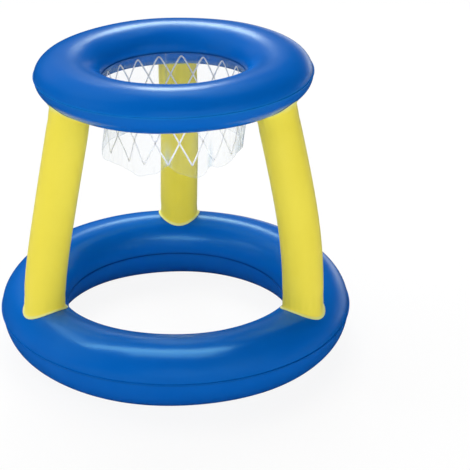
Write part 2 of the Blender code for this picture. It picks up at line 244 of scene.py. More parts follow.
def marked(tree: Tree, name: str) -> Socket:
    """Read a number that was written on the mesh's points."""
    return add_node(tree, "Attribute", attribute_name=name).outputs["Fac"]


def slanted(tree: Tree, falloff: float) -> Socket:
    """One where the surface is seen edge on, falling to zero where it faces the eye."""
    edge = add_node(tree, "LayerWeight", {"Blend": 0.5})
    return maths(tree, "POWER", edge.outputs["Facing"], falloff)


def bumped(
    tree: Tree, height: Socket, strength: float, distance: float, under: Socket | None = None
) -> Socket:
    """Add a Bump node.

    Args:
        tree: the node tree that gets it.
        height: what it reads.
        strength: how strongly it acts.
        distance: the depth of a full step.
        under: a normal that it goes over.

    Returns:
        The node's normal.
    """
    values = {"Height": height, "Strength": strength, "Distance": distance}
    if under is not None:
        values["Normal"] = under
    return add_node(tree, "Bump", values).outputs["Normal"]


def new_group(name: str, inputs: dict[str, float], outputs: tuple[str, ...]) -> tuple[Tree, Node, Node]:
    """Make a shader node group that reads a vector called Coordinates and named numbers.

    Args:
        name: the group's name.
        inputs: each number input and its default.
        outputs: the names of its number outputs.

    Returns:
        The group's tree, its input node and its output node.
    """
    tree = bpy.data.node_groups.new(name, "ShaderNodeTree")
    tree.interface.new_socket("Coordinates", in_out="INPUT", socket_type="NodeSocketVector")
    for label, value in inputs.items():
        made = tree.interface.new_socket(label, in_out="INPUT", socket_type="NodeSocketFloat")
        made.default_value = value
    for label in outputs:
        tree.interface.new_socket(label, in_out="OUTPUT", socket_type="NodeSocketFloat")
    return tree, tree.nodes.new("NodeGroupInput"), tree.nodes.new("NodeGroupOutput")


def film_grain_group() -> Tree:
    """The fine calendered grain and the soft unevenness of stretched vinyl film.

    Returns:
        The group, with the outputs Height and Cloud.
    """
    tree, entry, leave = new_group("film_grain", {"Grain": 1800.0, "Swell": 18.0}, ("Height", "Cloud"))
    grain_share = 0.12
    at = entry.outputs["Coordinates"]
    fine = noise_at(tree, at, entry.outputs["Grain"], detail=2.0)
    swell = noise_at(tree, at, entry.outputs["Swell"], detail=2.0, distortion=0.4)
    tree.links.new(maths(tree, "MULTIPLY_ADD", fine, grain_share, swell), leave.inputs["Height"])
    tree.links.new(swell, leave.inputs["Cloud"])
    return tree


def weld_ribs_group() -> Tree:
    """The fine ribs that a welding bar presses into a seam, running out from the hoop's axis.

    Returns:
        The group, with the output Height.
    """
    tree, entry, leave = new_group("weld_ribs", {"Ribs": 520.0, "Band": 0.0}, ("Height",))
    parts = add_node(tree, "SeparateXYZ", {0: entry.outputs["Coordinates"]})
    turn = maths(tree, "ARCTAN2", parts.outputs["Y"], parts.outputs["X"])
    wave = maths(tree, "SINE", maths(tree, "MULTIPLY", turn, entry.outputs["Ribs"]))
    tree.links.new(maths(tree, "MULTIPLY", wave, entry.outputs["Band"]), leave.inputs["Height"])
    return tree


@dataclass
class Effects:
    """The node groups that more than one finish uses."""

    grain: Tree = field(default_factory=film_grain_group)
    ribs: Tree = field(default_factory=weld_ribs_group)


@dataclass(frozen=True)
class Ground:
    """What a finish's own nodes start from: tree, shared groups, Object coordinates and grain outputs."""

    tree: Tree
    effects: Effects
    at: Socket
    grain: bpy.types.NodeOutputs


@dataclass(frozen=True, kw_only=True)
class Finish:
    """What every finish shares: a name, a colour, and film grain laid out by Object coordinates."""

    name: str
    colour: Colour
    roughness: float
    swell: float = 18.0

    def make(self, effects: Effects) -> Material:
        """Build the material.

        Args:
            effects: the shared node groups.

        Returns:
            The finished material.
        """
        material = bpy.data.materials.new(self.name)
        tree = empty_tree(material)
        at = add_node(tree, "TexCoord").outputs["Object"]
        grain = add_node(tree, "Group", node_tree=effects.grain)
        feed(tree, grain.inputs["Coordinates"], at)
        feed(tree, grain.inputs["Swell"], self.swell)
        values = self.shading(Ground(tree, effects, at, grain.outputs))
        shader = add_node(tree, "BsdfPrincipled", values)
        add_node(tree, "OutputMaterial", {"Surface": shader.outputs["BSDF"]})
        return material

    def uneven_roughness(self, tree: Tree, cloud: Socket, swing: float) -> Socket:
        """The roughness, varied by the cloud over a range as wide as the swing."""
        return maths(tree, "MULTIPLY_ADD", cloud, swing, self.roughness - swing / 2)

    def shading(self, ground: Ground) -> Inputs:
        """What the shader's inputs get, by name; each finish has its own."""
        raise NotImplementedError


@dataclass(frozen=True, kw_only=True)
class VinylFinish(Finish):
    """Inflated vinyl: an even colour with a faint cloud, fine grain, ribbed welds and painted light on seams
    and rim.
    """

    deep_colour: Colour
    # On the rings, the weld colour is a painted highlight along the outer lip.
    weld_and_sheen_colour: Colour
    # Painted shade colour for the dark lines at the seams.
    painted_shade_colour: Colour
    # Painted sheen: a paler colour, and its share, mixed in where the surface is seen edge on.
    painted_rim_sheen_colour: Colour
    rim: float
    rim_falloff: float
    specular: float
    gloss_tint: Colour
    grain_depth: float
    grain_strength: float = 0.6
    rib_depth: float = 0.00006
    rib_strength: float = 0.7
    cloud_gain: float = 1.6
    cloud_shift: float = -0.1
    roughness_swing: float = 0.06

    def shading(self, ground: Ground) -> Inputs:
        """Body colour, welds with a painted highlight, painted seam shade and a painted rim sheen, over a
        twice bumped gloss.

        Args:
            ground: what the nodes start from.

        Returns:
            What the shader's inputs get, by name.
        """
        tree, grain = ground.tree, ground.grain
        cloud = grain["Cloud"]
        weld = marked(tree, "weld")
        thick = maths(tree, "MULTIPLY_ADD", cloud, self.cloud_gain, self.cloud_shift, clamp=True)
        body = blended(tree, self.deep_colour, self.colour, thick)
        # The weld colour paints a highlight where the rings' outer lip catches light.
        seamed = blended(tree, body, self.weld_and_sheen_colour, weld)
        # Painted shade: a dark line in the inner seam's groove and under the outer lip.
        shade_lined = blended(tree, seamed, self.painted_shade_colour, marked(tree, "painted_shade"))
        # Painted reflection: the colour turns paler where the surface is seen edge on.
        edge = maths(tree, "MULTIPLY", slanted(tree, self.rim_falloff), self.rim)
        ribs = add_node(tree, "Group", node_tree=ground.effects.ribs)
        feed(tree, ribs.inputs["Coordinates"], ground.at)
        feed(tree, ribs.inputs["Band"], weld)
        fine = bumped(tree, grain["Height"], self.grain_strength, self.grain_depth)
        return {
            "Base Color": blended(tree, shade_lined, self.painted_rim_sheen_colour, edge),
            "Roughness": self.uneven_roughness(tree, cloud, self.roughness_swing),
            "Specular IOR Level": self.specular,
            "Specular Tint": self.gloss_tint,
            "Normal": bumped(tree, ribs.outputs["Height"], self.rib_strength, self.rib_depth, fine),
        }


@dataclass(frozen=True, kw_only=True)
class ClearFilmFinish(Finish):
    """Thin clear film with a slight haze, whose creases catch the light."""

    haze: float
    rim_haze: float
    crease_haze: float
    specular: float = 0.5
    rim_falloff: float = 3.0
    swell: float = 60.0
    streak_stretch: Colour = (1.0, 1.0, 0.12)
    streak_scale: float = 110.0
    streak_gain: float = 5.0
    streak_shift: float = -2.9
    streak_share: float = 0.16
    bump_strength: float = 0.5
    bump_depth: float = 0.0006

    def shading(self, ground: Ground) -> Inputs:
        """A haze that thickens at the rim, in long streaks and on marked creases.

        Args:
            ground: what the nodes start from.

        Returns:
            What the shader's inputs get, by name.
        """
        tree, grain = ground.tree, ground.grain
        tall = add_node(tree, "Mapping", {"Vector": ground.at, "Scale": self.streak_stretch})
        streak = noise_at(tree, tall.outputs["Vector"], self.streak_scale, detail=3.0, distortion=0.3)
        streaks = maths(tree, "MULTIPLY_ADD", streak, self.streak_gain, self.streak_shift, clamp=True)
        faint = maths(tree, "MULTIPLY", streaks, self.streak_share)
        lit = maths(tree, "MAXIMUM", faint, marked(tree, "crease"), clamp=True)
        seen = maths(tree, "MULTIPLY_ADD", slanted(tree, self.rim_falloff), self.rim_haze, self.haze)
        height = maths(tree, "ADD", streak, grain["Cloud"])
        return {
            "Base Color": self.colour,
            "Roughness": self.roughness,
            "Specular IOR Level": self.specular,
            "Alpha": maths(tree, "MULTIPLY_ADD", lit, self.crease_haze, seen, clamp=True),
            "Normal": bumped(tree, height, self.bump_strength, self.bump_depth),
        }


@dataclass(frozen=True, kw_only=True)
class InkFinish(Finish):
    """White screen-printed ink, a little uneven where it went on thin, that lets some light through."""

    thin_colour: Colour
    glow: float
    depth: float
    swell: float = 240.0
    thin_gain: float = 2.4
    thin_shift: float = -0.5
    roughness_swing: float = -0.1

    def shading(self, ground: Ground) -> Inputs:
        """Two whites by thickness, with some light let through.

        Args:
            ground: what the nodes start from.

        Returns:
            What the shader's inputs get, by name.
        """
        tree, grain = ground.tree, ground.grain
        cloud = grain["Cloud"]
        thick = maths(tree, "MULTIPLY_ADD", cloud, self.thin_gain, self.thin_shift, clamp=True)
        return {
            "Base Color": blended(tree, self.thin_colour, self.colour, thick),
            "Subsurface Weight": self.glow,
            "Subsurface Radius": (self.depth, self.depth, self.depth),
            "Subsurface Scale": 1.0,
            "Roughness": self.uneven_roughness(tree, cloud, self.roughness_swing),
        }


@dataclass(frozen=True, kw_only=True)
class SoftVinylFinish(Finish):
    """The soft, milky clear vinyl of the valves."""

    clear: float
    swell: float = 320.0
    bend_index: float = 1.5
    roughness_swing: float = 0.2
    bump_strength: float = 0.4
    bump_depth: float = 0.0001

    def shading(self, ground: Ground) -> Inputs:
        """Half clear, half milky, with a soft grain.

        Args:
            ground: what the nodes start from.

        Returns:
            What the shader's inputs get, by name.
        """
        tree, grain = ground.tree, ground.grain
        return {
            "Base Color": self.colour,
            "Transmission Weight": self.clear,
            "IOR": self.bend_index,
            "Roughness": self.uneven_roughness(tree, grain["Cloud"], self.roughness_swing),
            "Normal": bumped(tree, grain["Height"], self.bump_strength, self.bump_depth),
        }


BLUE_VINYL = VinylFinish(
    name="blue_vinyl",
    colour=(0.001, 0.127, 0.540),
    deep_colour=(0.000, 0.119, 0.525),
    # painted highlight along the outer lip
    weld_and_sheen_colour=(0.004, 0.210, 0.660),
    # painted shade in the seam lines
    painted_shade_colour=(0.000, 0.050, 0.260),
    # painted reflection where the ring is seen edge on
    painted_rim_sheen_colour=(0.001, 0.210, 0.780),
    rim=0.35,
    rim_falloff=5.0,
    roughness=0.24,
    specular=0.50,
    gloss_tint=(0.40, 1.00, 0.92),
    grain_depth=0.0004,
)
YELLOW_VINYL = VinylFinish(
    name="yellow_vinyl",
    colour=(0.900, 0.775, 0.076),
    deep_colour=(0.880, 0.750, 0.066),
    weld_and_sheen_colour=(0.800, 0.830, 0.300),
    painted_shade_colour=(0.620, 0.520, 0.060),
    # painted sheen where the post is seen edge on
    painted_rim_sheen_colour=(0.950, 0.920, 0.330),
    rim=0.90,
    rim_falloff=4.5,
    roughness=0.42,
    specular=0.35,
    gloss_tint=(1.00, 0.96, 0.70),
    grain_depth=0.0003,
)
CLEAR_FILM = ClearFilmFinish(
    name="clear_film",
    colour=(0.50, 0.72, 0.88),
    haze=0.04,
    rim_haze=0.13,
    crease_haze=0.22,
    roughness=0.24,
)
WHITE_INK = InkFinish(
    name="white_ink",
    colour=(0.97, 0.98, 1.00),
    thin_colour=(0.90, 0.92, 0.95),
    roughness=0.45,
    glow=0.6,
    depth=0.0015,
)
SOFT_VINYL = SoftVinylFinish(name="soft_vinyl", colour=(0.86, 0.91, 0.94), roughness=0.25, clear=0.55)


# Pieces


def mark_points(bm: Mesh, name: str, value_at: Callable[[Vector], float]) -> None:
    """Write a number on every point of a mesh, for its material to read.

    Args:
        bm: the mesh.
        name: the attribute's name.
        value_at: gives the number, from 0 to 1, at a point.
    """
    layer = bm.verts.layers.float.new(name)
    for corner in bm.verts:
        corner[layer] = value_at(corner.co)


def finish_piece(
    name: str,
    bm: Mesh,
    material: Material,
    body: str,
    nodes: tuple[str, ...],
    film: float = 0.0,
    sharp: float = 50.0,
) -> bpy.types.Object:
    """Turn a bmesh into a finished piece that rides on a body and stands for CAD nodes.

    Args:
        name: the piece's name.
        bm: its mesh, in the upright hoop's frame; it is given the hoop's lean and freed here.
        material: its finish.
        body: the body that it rides on.
        nodes: the CAD nodes that it stands for.
        film: wall thickness given to an open surface, or zero for a closed mesh.
        sharp: the angle in degrees above which an edge is sharp.

    Returns:
        The new object.
    """
    for corner in bm.verts:
        corner.co = LEAN.moved(corner.co)
    mesh = mesh_from(name, bm)
    mesh.materials.append(material)
    mesh.shade_smooth()
    mesh.set_sharp_from_angle(angle=math.radians(sharp))
    piece = linked(name, mesh)
    if film:
        wall = piece.modifiers.new("film", "SOLIDIFY")
        wall.thickness = film
        wall.offset = -1.0
        wall.use_even_offset = True
    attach(piece, body)
    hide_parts(*nodes)
    LOG.info("%s: %d faces, rides on %s", name, len(mesh.polygons), body)
    return piece


def sealed(bm: Mesh) -> Mesh:
    """Merge the points that meet and turn every face outwards.

    Args:
        bm: the mesh.

    Returns:
        The same mesh.
    """
    bmesh.ops.remove_doubles(bm, verts=bm.verts, dist=MERGE_DISTANCE)
    bmesh.ops.recalc_face_normals(bm, faces=bm.faces)
    return bm


def wrapped_grid(columns: int, rows: int, place: Callable[[float, float], Vector]) -> Mesh:
    """A grid bent round until its two sides meet.

    Args:
        columns: faces round the turn.
        rows: faces from one open edge to the other.
        place: gives the point at a share round the turn and a share along the rows.

    Returns:
        The mesh, merged where it meets and facing outwards.
    """
    bm = bmesh.new()
    bmesh.ops.create_grid(bm, x_segments=columns, y_segments=rows, size=1.0)
    for corner in bm.verts:
        around = (corner.co.x + 1) / 2
        along = (corner.co.y + 1) / 2
        corner.co = place(round(around * columns) % columns / columns, along)
    return sealed(bm)


def spun(outline: list[tuple[float, float]], steps: int, closed: bool = True) -> Mesh:
    """Turn an outline of (radius, height) pairs round Z into a closed mesh.

    Args:
        outline: the corners in order; an open outline starts and ends on the axis.
        steps: how many steps make the full turn.
        closed: whether the outline's last corner joins its first.

    Returns:
        The mesh, merged and facing outwards.
    """
    bm = bmesh.new()
    turns = [FULL_TURN * step / steps for step in range(steps)]
    rings = [[bm.verts.new(polar(turn, *corner)) for corner in outline] for turn in turns]
    for ring, after in zip(rings, rings[1:] + rings[:1]):
        for low in range(len(outline) if closed else len(outline) - 1):
            high = (low + 1) % len(outline)
            bm.faces.new((ring[low], after[low], after[high], ring[high]))
    return sealed(bm)


@dataclass
class InflatedRing:
    """One inflated ring: two film panels welded at an outer and an inner seam."""

    name: str
    centre_radius: float
    half_width: float
    half_height: float
    centre_height: float
    roll: float = 0.0
    rest_height: float = -1.0
    film: float = 0.0004
    lip: float = 0.0022
    seam_gap: float = 0.00005
    inner_seam_gap: float = 0.00005
    seam_rise: float = 0.0
    # Strengths of the painted highlight on the outer lip and of the painted shadow under it.
    seam_shine: float = 0.2
    seam_shade: float = 0.6
    weld_width: float = 0.0035
    weld_core: float = 0.6
    painted_shade_width: float = 0.0018
    lower_phase: float = 2.3
    swell_depth: float = 0.0006
    swell_waves: tuple[int, ...] = (2, 3, 5, 7)
    swell_twist: float = 0.6
    pucker_depth: float = 0.00035
    pucker_waves: tuple[int, ...] = (31, 43, 58, 71)
    pucker_phase: float = 0.7
    pucker_angle: float = 0.2
    pucker_spread: float = 0.22
    calm_inner: tuple[float, float] = (0.06, 0.22)
    calm_outer: tuple[float, float] = (0.0, 0.2)
    outer_film: float = 0.9
    lift_start: float = 0.5
    lift_reach: float = 0.7
    steps: int = 256
    face_steps: int = 44
    back_steps: int = 14

    def place(self, across: float, up: float) -> tuple[float, float]:
        """Radius and height of a point given in the section's own axes."""
        out, rise = turned(across, up, self.roll)
        return self.centre_radius + out, self.centre_height + rise

    def section(self, point: Vector) -> tuple[float, float]:
        """The section coordinates of a point in space."""
        out = math.hypot(point.x, point.y) - self.centre_radius
        return turned(out, point.z - self.centre_height, -self.roll)

    def depth(self, point: Vector, offset: float = 0.0) -> float:
        """Below one inside the section grown by offset, one on it, above one outside."""
        across, up = self.section(point)
        return math.hypot(across / (self.half_width + offset), up / (self.half_height + offset))

    def seat(self, point: Vector, offset: float = 0.0) -> Vector:
        """Move a point onto the ring's surface.

        Args:
            point: any point near the ring.
            offset: how far outside the surface it goes.

        Returns:
            The moved point, never below the rest height.
        """
        across, up = self.section(point)
        scale = 1 / self.depth(point, offset)
        radius, height = self.place(across * scale, up * scale)
        flat = Vector((point.x, point.y)).normalized() * radius
        return Vector((flat.x, flat.y, max(height, self.rest_height)))

    def surface(self, azimuth: float, angle: float) -> Vector:
        """The surface point at an azimuth and a section angle, counted from the outer seam over the top."""
        radius, height = self.place(self.half_width * math.cos(angle), self.half_height * math.sin(angle))
        return polar(azimuth, radius, height)

    def normal(self, point: Vector) -> Vector:
        """The outward normal of the smooth surface at a point on it.

        Args:
            point: the point.

        Returns:
            A unit vector.
        """
        across, up = self.section(point)
        slope = Vector((across / self.half_width**2, up / self.half_height**2)).normalized()
        out, rise = turned(slope.x, slope.y, self.roll)
        flat = Vector((point.x, point.y)).normalized() * out
        return Vector((flat.x, flat.y, rise))

    def weld_share(self, point: Vector) -> float:
        """How much of the weld's colour, a painted highlight on the lip, shows: most on the outer lip, fading
        beside it.

        Args:
            point: a point of the film.

        Returns:
            A share from 0 to 1.
        """
        across, up = self.section(point)
        aside = math.hypot(across - self.half_width, up - self.seam_rise)
        return self.seam_shine * (1.0 - smooth_step(self.weld_core * self.weld_width, self.weld_width, aside))

    def painted_shade_share(self, point: Vector) -> float:
        """One in the painted shade line of the inner seam's groove, and less in the painted shadow under the
        outer lip.

        Args:
            point: a point of the film.

        Returns:
            A share from 0 to 1.
        """
        across, up = self.section(point)
        inner = bump(math.hypot(across + self.half_width, up), self.painted_shade_width)
        under = up - self.seam_rise + self.weld_width / 2
        return inner + self.seam_shade * bump(math.hypot(across - self.half_width, under), self.painted_shade_width)

    def unevenness(self, point: Vector) -> float:
        """How far the film stands off its true section: soft swells, and puckers beside the inner seam.

        Args:
            point: a point of the film.

        Returns:
            The distance, outwards.
        """
        across, up = self.section(point)
        azimuth = math.atan2(point.y, point.x)
        angle = math.atan2(up / self.half_height, across / self.half_width)
        from_inner = math.pi - abs(angle)
        phase = 1.0 if up > 0 else self.lower_phase
        swell = ripple(azimuth + self.swell_twist * math.sin(angle), self.swell_waves, phase)
        fine = ripple(azimuth, self.pucker_waves, phase + self.pucker_phase)
        away = smooth_step(*self.calm_inner, from_inner) * smooth_step(*self.calm_outer, abs(angle))
        puckers = self.pucker_depth * fine * bump(from_inner - self.pucker_angle, self.pucker_spread)
        return (self.swell_depth * swell + puckers) * away

    def outline(self, half: Half) -> list[tuple[float, float]]:
        """The closed film outline of one panel in the plane of the section.

        Args:
            half: which panel.

        Returns:
            Pairs of radius and height, in order.
        """
        side, edge, inside = half.value, self.half_width, self.half_width - self.film

        def arc(width: float, height: float, count: int) -> list[tuple[float, float]]:
            """Points of a half ellipse from the inner to the outer seam, closer together near the seams.

            Args:
                width: half its width.
                height: its height.
                count: how many steps.

            Returns:
                The points between its ends.
            """
            steps = [step / count for step in range(1, count)]
            shares = [0.5 * (0.5 - 0.5 * math.cos(math.pi * step)) + 0.5 * step for step in steps]
            angles = [math.pi * (1 - share) for share in shares]
            return [(width * math.cos(angle), height * math.sin(angle)) for angle in angles]

        low, high = self.inner_seam_gap, self.inner_seam_gap + self.film
        gap, top = self.seam_gap, self.seam_gap + self.film
        tip = edge + self.lip
        points = [(-tip, low), (-tip, high), (-edge - self.lip / 2, high), (-edge, high)]
        points += arc(edge, self.half_height, self.face_steps)
        points += [(edge, top), (edge + self.lip / 2, top), (tip, top), (tip, gap), (inside, gap)]
        points += list(reversed(arc(inside, self.half_height - self.film, self.back_steps)))
        points += [(-inside, low)]
        return [self.place(across, up * side) for across, up in points]

    def build(self, material: Material) -> None:
        """Build both film panels.

        Args:
            material: their finish.
        """
        for half in Half:
            bm = spun(self.outline(half), self.steps)
            for corner in bm.verts:
                corner.co = self.settled(corner.co)
            mark_points(bm, "weld", self.weld_share)
            # painted shade along the seams
            mark_points(bm, "painted_shade", self.painted_shade_share)
            word = half.name.lower()
            node = f"{self.name}_ring_{word}_panel"
            finish_piece(f"{self.name}_ring_{word}_film", bm, material, HOOP_BODY, (node,))

    def settled(self, point: Vector) -> Vector:
        """Move a point of the even film to where the real film lies.

        Args:
            point: the point as the outline gives it.

        Returns:
            The point made uneven, lifted beside the outer seam and held above the rest height.
        """
        across, up = self.section(point)
        from_seam = math.hypot(abs(across) - self.half_width, up)
        moved = point.copy()
        if self.depth(point) > self.outer_film and from_seam > self.lip:
            moved += self.normal(point) * self.unevenness(point)
        lifted = self.seam_rise * smooth_step(self.lift_start * self.half_width, self.half_width, across)
        moved.z += lifted * (1 - smooth_step(0.0, self.lift_reach * self.half_height, abs(up)))
        moved.z = max(moved.z, self.rest_height)
        return moved


@dataclass
class Post:
    """One inflated post: a film tube that leaves each ring square to its surface, welded on with a flange."""

    place_name: PostPlace
    base: InflatedRing
    top: InflatedRing
    radius: float = 0.034
    foot_radius: float = 0.250
    head_radius: float = 0.193
    bend: float = 0.33
    sag: float = 0.0
    flange: float = 0.0046
    flange_middle: float = 0.6
    fillet: float = 0.0016
    fillet_height: float = 0.0006
    weld_fade: tuple[float, float] = (0.0012, 0.0022)
    film: float = 0.0004
    lap_width: float = 0.009
    lap_step: float = 0.0005
    lap_slope: float = 0.0006
    neck_depth: float = 0.0006
    neck_at: float = 0.016
    neck_width: float = 0.008
    crease_depth: float = 0.00035
    crease_waves: tuple[int, ...] = (9, 14, 19)
    crease_at: float = 0.008
    crease_width: float = 0.014
    swell_depth: float = 0.0003
    swell_turns: float = 3.0
    swell_run: float = 9.0
    wall_lift: float = 0.0022
    end_reach: float = 0.25
    halvings: int = 30
    sides: int = 120
    rows: int = 64

    def __post_init__(self) -> None:
        """Work out the centre line's ends and handles."""
        azimuth = math.radians(self.place_name.value)
        self.out = polar(azimuth, 1.0, 0.0)
        self.along = Vector((-self.out.y, self.out.x, 0.0))
        self.foot = self.base.seat(self.out * self.foot_radius + Vector((0, 0, self.base.half_height * 2)))
        under = self.top.centre_height - self.top.half_height
        self.head = self.top.seat(self.out * self.head_radius + Vector((0, 0, under)))
        self.length = (self.head - self.foot).length
        reach = self.length * self.bend
        self.handles = (self.foot + Vector((0, 0, reach)), self.head + self.top.normal(self.head) * reach)

    def axis(self, share: float) -> tuple[Vector, Vector]:
        """The post's curved centre line, run on straight past its ends.

        Args:
            share: a share of the post's length.

        Returns:
            The centre and the unit direction.
        """
        inside = min(max(share, 0.0), 1.0)
        rest = 1 - inside
        first, second = self.handles
        centre = (
            rest**3 * self.foot
            + 3 * rest**2 * inside * first
            + 3 * rest * inside**2 * second
            + inside**3 * self.head
        )
        slope = 3 * (
            rest**2 * (first - self.foot)
            + 2 * rest * inside * (second - first)
            + inside**2 * (self.head - second)
        )
        centre -= self.out * self.sag * 4 * inside * rest
        return centre + slope * (share - inside), slope.normalized()

    def wall_radius(self, share: float, turn: float) -> float:
        """The tube's uneven radius.

        Args:
            share: a share of the post's length.
            turn: how far round it, in radians.

        Returns:
            The radius.
        """
        from_foot, from_head = share * self.length, (1 - share) * self.length
        phase = self.place_name.value
        necked = sum(bump(away - self.neck_at, self.neck_width) for away in (from_foot, from_head))
        creased = sum(bump(away - self.crease_at, self.crease_width) for away in (from_foot, from_head))
        creases = self.crease_depth * ripple(turn, self.crease_waves, phase) * creased
        swell = self.swell_depth * math.sin(self.swell_turns * turn + self.swell_run * share + phase)
        aside = abs(turn - math.pi) * self.radius
        edge = self.lap_width / 2
        lap = self.lap_step * (1 - smooth_step(edge - self.lap_slope, edge, aside))
        return self.radius - self.neck_depth * necked + creases + swell + lap

    def wall(self, share: float, turn: float, radius: float) -> Vector:
        """A point of the tube's wall.

        Args:
            share: a share of the post's length.
            turn: how far round it, from zero on the side away from the hoop's middle.
            radius: its radius there.

        Returns:
            The point.
        """
        centre, direction = self.axis(share)
        across = self.along.cross(direction).normalized()
        if across.dot(self.out) < 0:
            across.negate()
        return centre + (across * math.cos(turn) + self.along * math.sin(turn)) * radius

    def end_share(self, ring: InflatedRing, turn: float, start: float) -> float:
        """Find by halving where a line of the wall meets a ring.

        Args:
            ring: the ring.
            turn: which line of the wall.
            start: the share at which the centre line meets it.

        Returns:
            The share of the post's length.
        """
        reach = self.end_reach if start > 0.5 else -self.end_reach
        near, far = start - reach, start + reach
        for _ in range(self.halvings):
            middle = (near + far) / 2
            if ring.depth(self.wall(middle, turn, self.radius), self.film) > 1:
                near = middle
            else:
                far = middle
        return near

    def rim(self, ring: InflatedRing, turn: float, start: float, width: float) -> Vector:
        """A point of a weld flange: the wall's foot on the ring, moved outwards along the ring's surface.

        Args:
            ring: the ring.
            turn: which line of the wall.
            start: the share at which the centre line meets it.
            width: how far it is moved.

        Returns:
            The point.
        """
        foot = self.wall(self.end_share(ring, turn, start), turn, self.radius)
        outward = (foot - self.axis(start)[0]).normalized()
        normal = ring.normal(foot)
        outward = (outward - normal * outward.dot(normal)).normalized()
        return ring.seat(foot + outward * width, self.film + self.fillet_height * bump(width, self.fillet))

    def build(self, material: Material) -> None:
        """Build the post.

        Args:
            material: its finish.
        """
        ends: dict[tuple[float, float], float] = {}
        widths = (self.flange, self.flange * self.flange_middle, self.fillet)
        lift = self.wall_lift / self.length
        last = self.rows

        def place(around: float, along: float) -> Vector:
            """Foot flange, tube and head flange, by row.

            Args:
                around: a share of the turn.
                along: a share of the rows.

            Returns:
                The point.
            """
            turn = FULL_TURN * around
            row = round(along * last)
            for ring, start, index in ((self.base, 0.0, row), (self.top, 1.0, last - row)):
                if index < len(widths):
                    return self.rim(ring, turn, start, widths[index])
                if (start, turn) not in ends:
                    ends[(start, turn)] = self.end_share(ring, turn, start)
            low, high = ends[(0.0, turn)] + lift, ends[(1.0, turn)] - lift
            step = (row - len(widths)) / (last - 2 * len(widths))
            share = low + (high - low) * step
            return self.wall(share, turn, self.wall_radius(share, turn))

        bm = wrapped_grid(self.sides, self.rows, place)
        mark_points(bm, "weld", self.weld_share)
        node = f"post_{self.place_name.name.lower()}"
        finish_piece(f"{node}_film", bm, material, HOOP_BODY, (node,), film=self.film)

    def weld_share(self, point: Vector) -> float:
        """One on the weld flanges, fading on the tube."""
        height = min(abs(ring.depth(point) - 1) * ring.half_height for ring in (self.base, self.top))
        return 1.0 - smooth_step(*self.weld_fade, height)


@dataclass(frozen=True)
class Fold:
    """One soft fold of the net's hem: where it is, how much longer it hangs and how far it stands out."""

    azimuth: float
    width: float
    drop: float
    out: float

    def share(self, azimuth: float) -> float:
        """One at the fold's middle, fading to its sides."""
        return bump(around_from(azimuth, math.radians(self.azimuth)), math.radians(self.width))


@dataclass(frozen=True)
class Crinkle:
    """One size of crease in the net film: how close it runs round and down the film, and how deep."""

    round_scale: float
    drop_scale: float
    depth: float
    shift: float = 0.0
    ridge: float = 0.0

    def height(self, azimuth: float, drop: float) -> float:
        """The noise at a point; a ridge above zero folds it into sharp creases."""
        value = noise.noise(polar(azimuth, self.round_scale, drop * self.drop_scale + self.shift))
        return 1 - self.ridge * abs(value) if self.ridge else value


SHARP_CREASES = Crinkle(round_scale=9.0, drop_scale=26.0, ridge=2.4, depth=0.0003)
FINE_CREASES = Crinkle(round_scale=20.0, drop_scale=40.0, shift=9.0, ridge=2.2, depth=0.0002)
WIDE_CREASES = Crinkle(round_scale=2.2, drop_scale=9.0, depth=0.0016)
HEM_FOLDS = (
    Fold(azimuth=242, width=9, drop=0.008, out=0.003),
    Fold(azimuth=265, width=6, drop=-0.011, out=-0.006),
    Fold(azimuth=288, width=9, drop=0.008, out=0.004),
    Fold(azimuth=300, width=4, drop=-0.006, out=-0.005),
    Fold(azimuth=335, width=14, drop=-0.010, out=-0.001),
    Fold(azimuth=356, width=20, drop=-0.002, out=-0.006),
    Fold(azimuth=75, width=16, drop=-0.003, out=0.003),
    Fold(azimuth=140, width=14, drop=0.004, out=-0.002),
    Fold(azimuth=190, width=16, drop=0.007, out=0.006),
)


